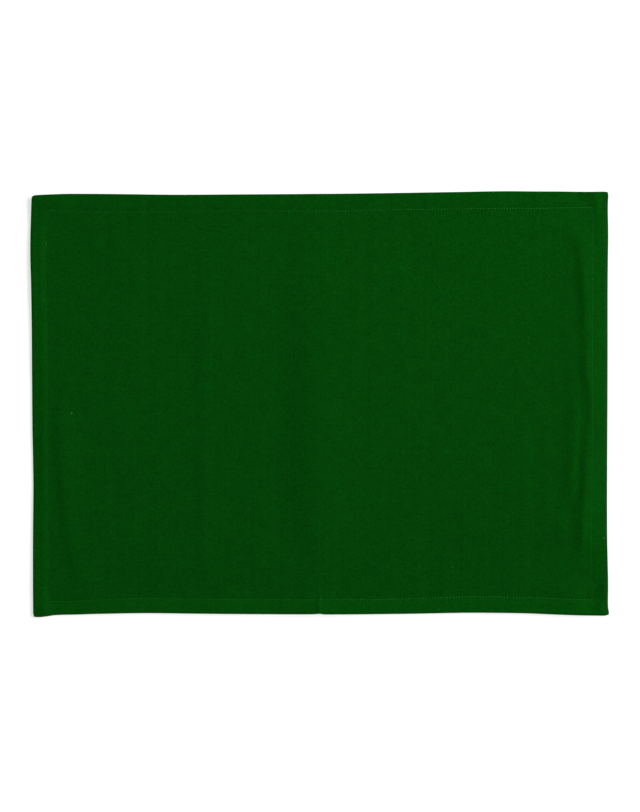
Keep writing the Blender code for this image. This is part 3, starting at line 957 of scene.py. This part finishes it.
def stitch_group():
    """One humped stitch of thread, its ends down in the needle holes, at each point of a row."""
    group, tree = new_group(
        "lay_stitches",
        (
            ("Thread Radius", "NodeSocketFloat", 0.2 * MM),
            ("Hump", "NodeSocketFloat", 0.3 * MM),
            ("Sink", "NodeSocketFloat", 0.3 * MM),
            ("Lean", "NodeSocketFloat", 0.1),
            ("Up", "NodeSocketVector", (0.0, 0.0, 1.0)),
            ("Seed", "NodeSocketInt", 1),
            ("Thread", "NodeSocketMaterial", None),
        ),
    )
    given = tree.node("NodeGroupInput")
    sink, hump = given.output("Sink"), given.output("Hump")
    start = tree.node("ShaderNodeCombineXYZ", {"X": -0.5, "Z": 0 - sink})
    crown = tree.node("ShaderNodeCombineXYZ", {"X": 0.0, "Z": hump * 2})
    end = tree.node("ShaderNodeCombineXYZ", {"X": 0.5, "Z": 0 - sink})
    line = tree.node(
        "GeometryNodeCurveQuadraticBezier",
        {"Resolution": STITCH_STEPS, "Start": start, "Middle": crown, "End": end},
    )
    round_thread = tree.node(
        "GeometryNodeCurvePrimitiveCircle",
        {"Resolution": THREAD_SIDES, "Radius": given.output("Thread Radius")},
    )
    length = tree.node("GeometryNodeInputNamedAttribute", {"Name": "length"}, data_type="FLOAT")
    run = tree.node("GeometryNodeInputNamedAttribute", {"Name": "run"}, data_type="FLOAT_VECTOR")
    turn = tree.node(
        "FunctionNodeAxesToRotation",
        {"Primary Axis": run, "Secondary Axis": given.output("Up")},
        primary_axis="X",
        secondary_axis="Z",
    )
    lean = given.output("Lean")
    leaning = tree.node(
        "FunctionNodeRandomValue", {2: lean * -1, 3: lean, "Seed": given.output("Seed")}, output=1
    )
    lean_turn = tree.node("FunctionNodeAxisAngleToRotation", {"Axis": (0.0, 0.0, 1.0), "Angle": leaning})
    turned = tree.node(
        "FunctionNodeRotateRotation", {"Rotation": turn, "Rotate By": lean_turn}, rotation_space="LOCAL"
    )
    thickness = tree.node(
        "FunctionNodeRandomValue",
        {2: 1 - THREAD_UNEVENNESS, 3: 1 + THREAD_UNEVENNESS, "Seed": given.output("Seed") + 1},
        output=1,
    )
    laid = tree.node(
        "GeometryNodeInstanceOnPoints",
        {
            "Points": given.output("Geometry"),
            "Instance": line,
            "Rotation": turned,
            "Scale": tree.node("ShaderNodeCombineXYZ", {"X": length, "Y": 1.0, "Z": thickness}),
        },
    )
    lines = tree.node("GeometryNodeRealizeInstances", {"Geometry": laid})
    thread = tree.node(
        "GeometryNodeCurveToMesh", {"Curve": lines, "Profile Curve": round_thread, "Fill Caps": True}
    )
    smooth = tree.node("GeometryNodeSetShadeSmooth", {"Geometry": thread})
    real = tree.node("GeometryNodeRealizeInstances", {"Geometry": smooth})
    done = tree.node("GeometryNodeSetMaterial", {"Geometry": real, "Material": given.output("Thread")})
    tree.node("NodeGroupOutput", {"Geometry": done})
    return group


def grown(name, seeds, group, settings):
    """The plain mesh that a Geometry Nodes tree makes from an object of bare points."""
    modifier = seeds.modifiers.new("grow", "NODES")
    modifier.node_group = group
    for item in group.interface.items_tree:
        if item.item_type == "SOCKET" and item.in_out == "INPUT" and item.name in settings:
            modifier[item.identifier] = settings[item.name]
    graph = bpy.context.evaluated_depsgraph_get()
    mesh = bpy.data.meshes.new_from_object(seeds.evaluated_get(graph))
    mesh.name = name
    bpy.data.objects.remove(seeds, do_unlink=True)
    made = bpy.data.objects.new(name, mesh)
    bpy.context.scene.collection.objects.link(made)
    return made


def points_object(name, points, attributes):
    """An object of bare points, each with its named vectors and numbers."""
    mesh = bpy.data.meshes.new(name)
    mesh.from_pydata(np.asarray(points).tolist(), [], [])
    for label, values in attributes.items():
        vector = values.ndim == 2
        layer = mesh.attributes.new(label, "FLOAT_VECTOR" if vector else "FLOAT", "POINT")
        layer.data.foreach_set("vector" if vector else "value", values.astype(np.float32).ravel())
    made = bpy.data.objects.new(name, mesh)
    bpy.context.scene.collection.objects.link(made)
    return made


def sewing(name, height, middle, settings, sunk):
    """One face's thread: every stitch of the seam laid on the cloth at this height.

    sunk is how much of its drop into the cloth each stitch has here: all of it on top, none underneath.
    """
    stitches = seam_stitches()

    def on_cloth(x, y):
        sewn_x, sewn_y = sewn_place(x, y)
        return np.stack([sewn_x, sewn_y, height - sunk * stitches.drop + lift(x, y)], axis=1)

    reach = STITCH_PITCH / 2
    run_x, run_y = stitches.run_x * reach, stitches.run_y * reach
    run = on_cloth(stitches.x + run_x, stitches.y + run_y) - on_cloth(stitches.x - run_x, stitches.y - run_y)
    run /= np.linalg.norm(run, axis=1, keepdims=True)
    places = (on_cloth(stitches.x, stitches.y) - middle) * MM
    given = {"run": run, "length": stitches.length * MM, "showing": stitches.showing}
    seeds = points_object(name + "_places", places, given)
    return grown(name, seeds, stitch_group(), settings)


def topstitch(material, middle):
    return sewing("topstitch", SEAM_TOP, middle, {"Thread": material}, sunk=1)


def bobbin_stitch(material, middle):
    """The underside's thread, pulled flatter into the cloth than the topstitch."""
    settings = {
        "Thread": material,
        "Up": (0.0, 0.0, -1.0),
        "Thread Radius": 0.15 * MM,
        "Hump": 0.1 * MM,
        "Sink": 0.15 * MM,
        "Lean": 0.04,
    }
    return sewing("bobbin_stitch", SEAM_UNDERSIDE, middle, settings, sunk=0)


def nep_group():
    """A small matted lump of fibre, no two alike, at each point."""
    group, tree = new_group(
        "scatter_neps",
        (
            ("Flatness", "NodeSocketFloat", 0.3),
            ("Width", "NodeSocketFloat", 0.6),
            ("Seed", "NodeSocketInt", 4),
            ("Fibre", "NodeSocketMaterial", None),
        ),
    )
    given = tree.node("NodeGroupInput")
    lump = tree.node("GeometryNodeMeshIcoSphere", {"Radius": 0.5, "Subdivisions": NEP_SUBDIVISIONS})
    length = tree.node("GeometryNodeInputNamedAttribute", {"Name": "length"}, data_type="FLOAT")
    spin = tree.node("FunctionNodeRandomValue", {2: 0.0, 3: math.pi, "Seed": given.output("Seed")}, output=1)
    turn = tree.node("FunctionNodeAxisAngleToRotation", {"Axis": (0.0, 0.0, 1.0), "Angle": spin})
    laid = tree.node(
        "GeometryNodeInstanceOnPoints",
        {
            "Points": given.output("Geometry"),
            "Instance": lump,
            "Rotation": turn,
            "Scale": tree.node(
                "ShaderNodeCombineXYZ",
                {"X": length, "Y": length * given.output("Width"), "Z": length * given.output("Flatness")},
            ),
        },
    )
    real = tree.node("GeometryNodeRealizeInstances", {"Geometry": laid})
    place = tree.node("GeometryNodeInputPosition")
    shift = tree.vector_math("MULTIPLY", tree.shove(place, NEP_LUMP), NEP_SPREAD)
    matted = tree.node("GeometryNodeSetPosition", {"Geometry": real, "Offset": shift})
    smooth = tree.node("GeometryNodeSetShadeSmooth", {"Geometry": matted})
    done = tree.node("GeometryNodeSetMaterial", {"Geometry": smooth, "Material": given.output("Fibre")})
    tree.node("NodeGroupOutput", {"Geometry": done})
    return group


def section_top(inset):
    """The height of the mat's upper face this far in from the edge, before folds."""
    rows = HEM_TOP[::-1]
    return through([row.inset for row in rows], [row.height + row.thickness / 2 for row in rows], inset)


def neps(material):
    """The pale knots, set into the cloth where the photograph shows them."""
    table = np.array(NEPS)
    x, y, length = table.T
    inset = np.minimum(HALF_LENGTH - np.abs(x), HALF_DEPTH - np.abs(y))
    height = section_top(np.clip(inset, HEM_TOP[-1].inset, RIM_WIDTH)) + lift(x, y)
    places = np.stack([x, y, height], axis=1)
    seeds = points_object("nep_places", places * MM, {"length": length * MM})
    return grown("pale_neps", seeds, nep_group(), {"Fibre": material})


# --- finishes ---------------------------------------------------------------------------------------------


def new_material(name):
    material = bpy.data.materials.new(name)
    material.use_nodes = True
    return material, Tree(material.node_tree), material.node_tree.nodes["Principled BSDF"]


CLOTH_GREEN = (0.00090, 0.0355, 0.00157)
THREAD_GREEN = (0.0102, 0.110, 0.0135)
NEP_GREEN = (0.022, 0.115, 0.026)
SHEEN_GREEN = (0.10, 0.60, 0.16, 1.0)

# How large the cloth's unevennesses are.
WOBBLE_SIZE, WOBBLE_REACH = 9 * MM, (0.8 * MM,) * 3
SLUB_WIDTH, WARP_SLUB_LENGTH, WEFT_SLUB_LENGTH = 0.8 * MM, 16 * MM, 13 * MM
GRAIN_SIZE, BLOTCH_SIZE = 1.9 * MM, 9 * MM
FINE_STREAK_WIDTH, BROAD_STREAK_WIDTH, STREAK_LENGTH = 4 * MM, 20 * MM, 500 * MM

# How much each of them lightens or darkens the dye, except at the weave's crowns and the needle holes. There
# the colour is painted shade: the yarns' crowns lighter, and the gaps between yarns and the holes darker.
PLAIN_SHADE = 0.84
# Painted shade of the weave: the yarns' crowns painted lighter and the gaps between them darker.
HUMP_PAINTED_SHADE = 0.16
CROSSING_SHADE = 0.16
GRAIN_SHADE = 0.51
SLUB_SHADE = 0.19
BLOTCH_SHADE = 0.31
FINE_STREAK_SHADE = 0.24
BROAD_STREAK_SHADE = 0.06
# Painted shade: how much darker the needle holes are painted.
HOLE_PAINTED_SHADE = 0.6

# The hem is rubbed paler and a little smoother. On top of that the near hem is coloured paler still, and the
# far hem is not coloured paler at all.
HEM_WEAR = 0.05
NEAR_HEM_PALENESS = 0.11
FAR_HEM_PALENESS = 0.0
HEM_EDGE_BLUR = 0.4 * MM
LONG_HEM_START = 1.1  # hem widths in from the edge, where a long side's own paleness starts
CLOTH_ROUGHNESS, HEM_POLISH = 0.95, 0.06

# The relief. Round the stitches it is fainter at the left end of the long sides, and on the short sides.
WEAVE_DEPTH = 0.11 * MM
SLUB_DEPTH = 0.05 * MM
HOLE_DEPTH = 0.15 * MM
HOLE_RADIUS = 0.42 * MM
HOLE_BOTTOM_RADIUS = 0.3 * HOLE_RADIUS
GATHER_SLOPE = 0.12
GATHER_REACH = 2.2 * MM
PULLED_AT_LEFT = 0.15
SLACK_ON_SHORT_SIDES = 0.85

# The thread and the fibre of the neps.
THREAD_TWIST_SIZE, THREAD_TONE_SIZE = 0.22 * MM, 2.6 * MM
THREAD_SHADE, TWIST_SHADE, EACH_STITCH_SHADE = 0.75, 0.5, 1.6
TWIST_DEPTH = 0.03 * MM
HAIR_SIZE = 0.15 * MM
NEP_SHADE, HAIR_SHADE = 0.6, 0.8
HAIR_DEPTH = 0.05 * MM


def canvas():
    """Piece-dyed cotton canvas in plain weave: uneven yarns, blotchy dye and a hem that is rubbed paler."""
    material, tree, shader = new_material("green_canvas")
    weave_map = tree.node("ShaderNodeUVMap", uv_map="weave")
    flat_x = tree.node("ShaderNodeSeparateXYZ", {"Vector": weave_map})
    flat_y = flat_x.output("Y")
    wobble = tree.vector_math("MULTIPLY", tree.shove(weave_map, WOBBLE_SIZE), WOBBLE_REACH)
    place = tree.vector_math("ADD", weave_map, wobble)

    # Warp yarns run along Y and weft yarns along X, and they pass over each other by turns.
    across = tree.node("ShaderNodeSeparateXYZ", {"Vector": place})
    warp_count, weft_count = across / (YARN_PITCH * MM), across.output("Y") / (YARN_PITCH * MM)
    warp_crown = abs(tree.math("SINE", warp_count * math.pi))
    weft_crown = abs(tree.math("SINE", weft_count * math.pi))
    warp_number, weft_number = tree.math("FLOOR", warp_count), tree.math("FLOOR", weft_count)
    warp_over = (warp_number + weft_number) % 2.0
    hump = warp_over * warp_crown * weft_crown**0.5 + (1 - warp_over) * warp_crown**0.5 * weft_crown

    warp_slub = tree.streaks(place, SLUB_WIDTH, WARP_SLUB_LENGTH)
    weft_slub = tree.streaks(place, WEFT_SLUB_LENGTH, SLUB_WIDTH)
    slub = warp_over * warp_slub + (1 - warp_over) * weft_slub
    crossing = tree.node("ShaderNodeCombineXYZ", {"X": warp_number, "Y": weft_number})
    each_crossing = tree.node("ShaderNodeTexWhiteNoise", {"Vector": crossing}, noise_dimensions="2D")
    grain = tree.noise(weave_map, GRAIN_SIZE, detail=0.0)
    fine_streak = tree.streaks(weave_map, FINE_STREAK_WIDTH, STREAK_LENGTH, roughness=1.0)
    broad_streak = tree.streaks(weave_map, BROAD_STREAK_WIDTH, STREAK_LENGTH, detail=1.0, roughness=0.8)
    blotch = tree.noise(weave_map, BLOTCH_SIZE, detail=1.0, roughness=1.0)

    inset_x, inset_y = HALF_LENGTH * MM - abs(flat_x), HALF_DEPTH * MM - abs(flat_y)
    inset = tree.math("MINIMUM", inset_x, inset_y)
    seam, under_seam = unfolded_inset(SEAM_ROW) * MM, unfolded_inset(UNDER_SEAM_ROW) * MM
    in_hem = tree.between(inset, seam - HEM_EDGE_BLUR, seam + HEM_EDGE_BLUR, 1.0, 0.0)
    long_hem = HALF_DEPTH * MM - LONG_HEM_START * seam, HALF_DEPTH * MM - seam
    in_near_hem = in_hem * tree.between(0 - flat_y, *long_hem)
    in_far_hem = in_hem * tree.between(flat_y, *long_hem)
    # The near hem is coloured paler than the other hems, and the far hem keeps the field's colour.
    hem_paleness = HEM_WEAR * in_hem + (NEAR_HEM_PALENESS - HEM_WEAR) * in_near_hem
    hem_paleness = hem_paleness + (FAR_HEM_PALENESS - HEM_WEAR) * in_far_hem

    # The needle's holes lie between the stitches, and the thread pulls the cloth down round each. The holes
    # are also painted darker, as painted shade.
    from_seam = tree.math("MINIMUM", abs(inset - seam), abs(inset - under_seam))
    stitches_x = (flat_x + SEAM_HALF_LENGTH * MM) / (true_pitch(SEAM_HALF_LENGTH) * MM)
    stitches_y = (flat_y + SEAM_HALF_DEPTH * MM) / (true_pitch(SEAM_HALF_DEPTH) * MM)
    on_short_side = tree.math("LESS_THAN", inset_x, inset_y)
    stitches = stitches_x + on_short_side * (stitches_y - stitches_x)
    to_hole = (0.5 - abs(stitches % 1.0 - 0.5)) * (STITCH_PITCH * MM)
    pulled = tree.between(flat_x, CLEAR_FROM * MM, CLEAR_TO * MM, PULLED_AT_LEFT, 1.0)
    pulled = pulled * (1 - SLACK_ON_SHORT_SIDES * on_short_side)
    from_hole = (to_hole**2 + from_seam**2) ** 0.5
    hole = tree.between(from_hole, HOLE_BOTTOM_RADIUS, HOLE_RADIUS, 1.0, 0.0) * pulled
    gather = tree.between(from_seam, 0.0, GATHER_REACH, 1.0, 0.0) * to_hole * pulled

    # The yarns' crowns are painted lighter and the gaps between them darker: painted shade of the weave.
    shade = PLAIN_SHADE + HUMP_PAINTED_SHADE * hump + CROSSING_SHADE * each_crossing
    shade = shade + GRAIN_SHADE * (grain - 0.5) + SLUB_SHADE * (slub - 0.5) + BLOTCH_SHADE * (blotch - 0.5)
    shade = shade + FINE_STREAK_SHADE * (fine_streak - 0.5) + BROAD_STREAK_SHADE * (broad_streak - 0.5)
    # The needle holes are painted darker: painted shade in the holes.
    shade = (shade + hem_paleness) * (1 - HOLE_PAINTED_SHADE * hole)
    tree.link(tree.scaled(CLOTH_GREEN, shade), shader.inputs["Base Color"])
    tree.link(CLOTH_ROUGHNESS - HEM_POLISH * in_hem, shader.inputs["Roughness"])
    height = WEAVE_DEPTH * hump + SLUB_DEPTH * slub + GATHER_SLOPE * gather - HOLE_DEPTH * hole
    tree.link(tree.bumped(height), shader.inputs["Normal"])
    shader.inputs["Specular IOR Level"].default_value = 0.0
    shader.inputs["Sheen Weight"].default_value = 0.04
    shader.inputs["Sheen Roughness"].default_value = 0.45
    shader.inputs["Sheen Tint"].default_value = SHEEN_GREEN
    return material


def thread():
    """Twisted polyester sewing thread, a lighter green than the cloth."""
    material, tree, shader = new_material("green_thread")
    place = tree.node("ShaderNodeTexCoord", output="Object")
    twist = tree.streaks(place, THREAD_TWIST_SIZE, THREAD_TWIST_SIZE, detail=1.0)
    each_stitch = tree.noise(place, THREAD_TONE_SIZE, detail=1.0)
    shade = THREAD_SHADE + TWIST_SHADE * twist + EACH_STITCH_SHADE * (each_stitch - 0.5)
    colour = tree.scaled(THREAD_GREEN, shade)
    showing = tree.node("ShaderNodeAttribute", attribute_name="showing", output="Fac")
    seen = tree.node("ShaderNodeMix", {0: showing, 4: CLOTH_GREEN, 5: colour}, data_type="VECTOR", output=1)
    tree.link(seen, shader.inputs["Base Color"])
    tree.link(tree.bumped(TWIST_DEPTH * twist), shader.inputs["Normal"])
    shader.inputs["Roughness"].default_value = 0.7
    shader.inputs["Specular IOR Level"].default_value = 0.03
    return material


def pale_fibre():
    """Undyed fibre in the neps, tinted by the green around it."""
    material, tree, shader = new_material("pale_fibre")
    place = tree.node("ShaderNodeTexCoord", output="Object")
    mat_of_hairs = tree.noise(place, HAIR_SIZE)
    shade = NEP_SHADE + HAIR_SHADE * mat_of_hairs
    tree.link(tree.scaled(NEP_GREEN, shade), shader.inputs["Base Color"])
    tree.link(tree.bumped(HAIR_DEPTH * mat_of_hairs), shader.inputs["Normal"])
    shader.inputs["Roughness"].default_value = 0.95
    shader.inputs["Specular IOR Level"].default_value = 0.0
    return material


# --- the studio -------------------------------------------------------------------------------------------

# Lengths in the studio are in metres.
FLOOR_HALF_SIZE = 14.0
FLOOR_WHITE = (0.3, 0.3, 0.3)
FLOOR_UNEVENNESS, FLOOR_PATCH = 0.01, 0.05
TABLE_GLOW = 0.6
KEY_AZIMUTH, KEY_ELEVATION = math.radians(8), math.radians(28)
KEY_STRENGTH = 4.6
KEY_SPREAD = math.radians(28)
FILL_PLACE = Vector((0.8, 0.75, 0.7))
FILL_SIZE = 0.5
FILL_POWER = 12.6
ROOM_STRENGTH = 0.55


def floor():
    """A white shooting table, lit a little from below as such tables are."""
    material, tree, shader = new_material("pale_floor")
    place = tree.node("ShaderNodeTexCoord", output="Object")
    shade = 1 + FLOOR_UNEVENNESS * (tree.noise(place, FLOOR_PATCH) - 0.5)
    tree.link(tree.scaled(FLOOR_WHITE, shade), shader.inputs["Base Color"])
    shader.inputs["Roughness"].default_value = 0.9
    shader.inputs["Specular IOR Level"].default_value = 0.1
    shader.inputs["Emission Color"].default_value = (1.0, 1.0, 1.0, 1.0)
    shader.inputs["Emission Strength"].default_value = TABLE_GLOW
    half = FLOOR_HALF_SIZE
    corners = [(-half, -half, 0), (half, -half, 0), (half, half, 0), (-half, half, 0)]
    made = mesh_object("floor", corners, [(0, 1, 2, 3)], material)


def lights():
    """A low soft key from the right, a nearer soft light beyond the far right corner, and the white room."""
    key = bpy.data.lights.new("key", "SUN")
    key.energy = KEY_STRENGTH
    key.angle = KEY_SPREAD
    key_object = bpy.data.objects.new("key", key)
    towards_key = Vector(
        (
            math.cos(KEY_ELEVATION) * math.cos(KEY_AZIMUTH),
            math.cos(KEY_ELEVATION) * math.sin(KEY_AZIMUTH),
            math.sin(KEY_ELEVATION),
        )
    )
    key_object.rotation_euler = towards_key.to_track_quat("Z", "Y").to_euler()
    fill = bpy.data.lights.new("fill", "AREA")
    fill.shape = "DISK"
    fill.size = FILL_SIZE
    fill.energy = FILL_POWER
    fill_object = bpy.data.objects.new("fill", fill)
    fill_object.location = FILL_PLACE
    fill_object.rotation_euler = FILL_PLACE.to_track_quat("Z", "Y").to_euler()
    for light in (key_object, fill_object):
        bpy.context.scene.collection.objects.link(light)
    room = bpy.data.worlds.new("white_room")
    room.use_nodes = True
    room.node_tree.nodes["Background"].inputs["Color"].default_value = (1.0, 1.0, 1.0, 1.0)
    room.node_tree.nodes["Background"].inputs["Strength"].default_value = ROOM_STRENGTH
    bpy.context.scene.world = room
    bpy.context.scene.view_settings.view_transform = "Standard"


def camera():
    """Straight above the mat, with the photograph's scale and its small offset from the mat's middle."""
    taken = bpy.data.cameras.new("camera")
    taken.lens = LENS_MM
    taken.sensor_width = SENSOR_MM
    made = bpy.data.objects.new("camera", taken)
    distance = PHOTO_HEIGHT_PX * MM_PER_PX * LENS_MM / SENSOR_MM
    offset_x = (PHOTO_WIDTH_PX / 2 - MAT_MIDDLE_PX[0]) * MM_PER_PX
    offset_y = (MAT_MIDDLE_PX[1] - PHOTO_HEIGHT_PX / 2) * MM_PER_PX
    made.location = Vector((offset_x, offset_y, distance + SEAM_TOP)) * MM
    bpy.context.scene.collection.objects.link(made)
    bpy.context.scene.camera = made


def main():
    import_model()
    camera()
    lights()
    floor()

    mat, middle = cloth(canvas())
    green_thread = thread()
    details = [
        topstitch(green_thread, middle),
        bobbin_stitch(green_thread, middle),
        neps(pale_fibre()),
    ]
    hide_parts(CLOTH_NODE)
    for piece in (mat, *details):
        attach(piece, "root")


main()
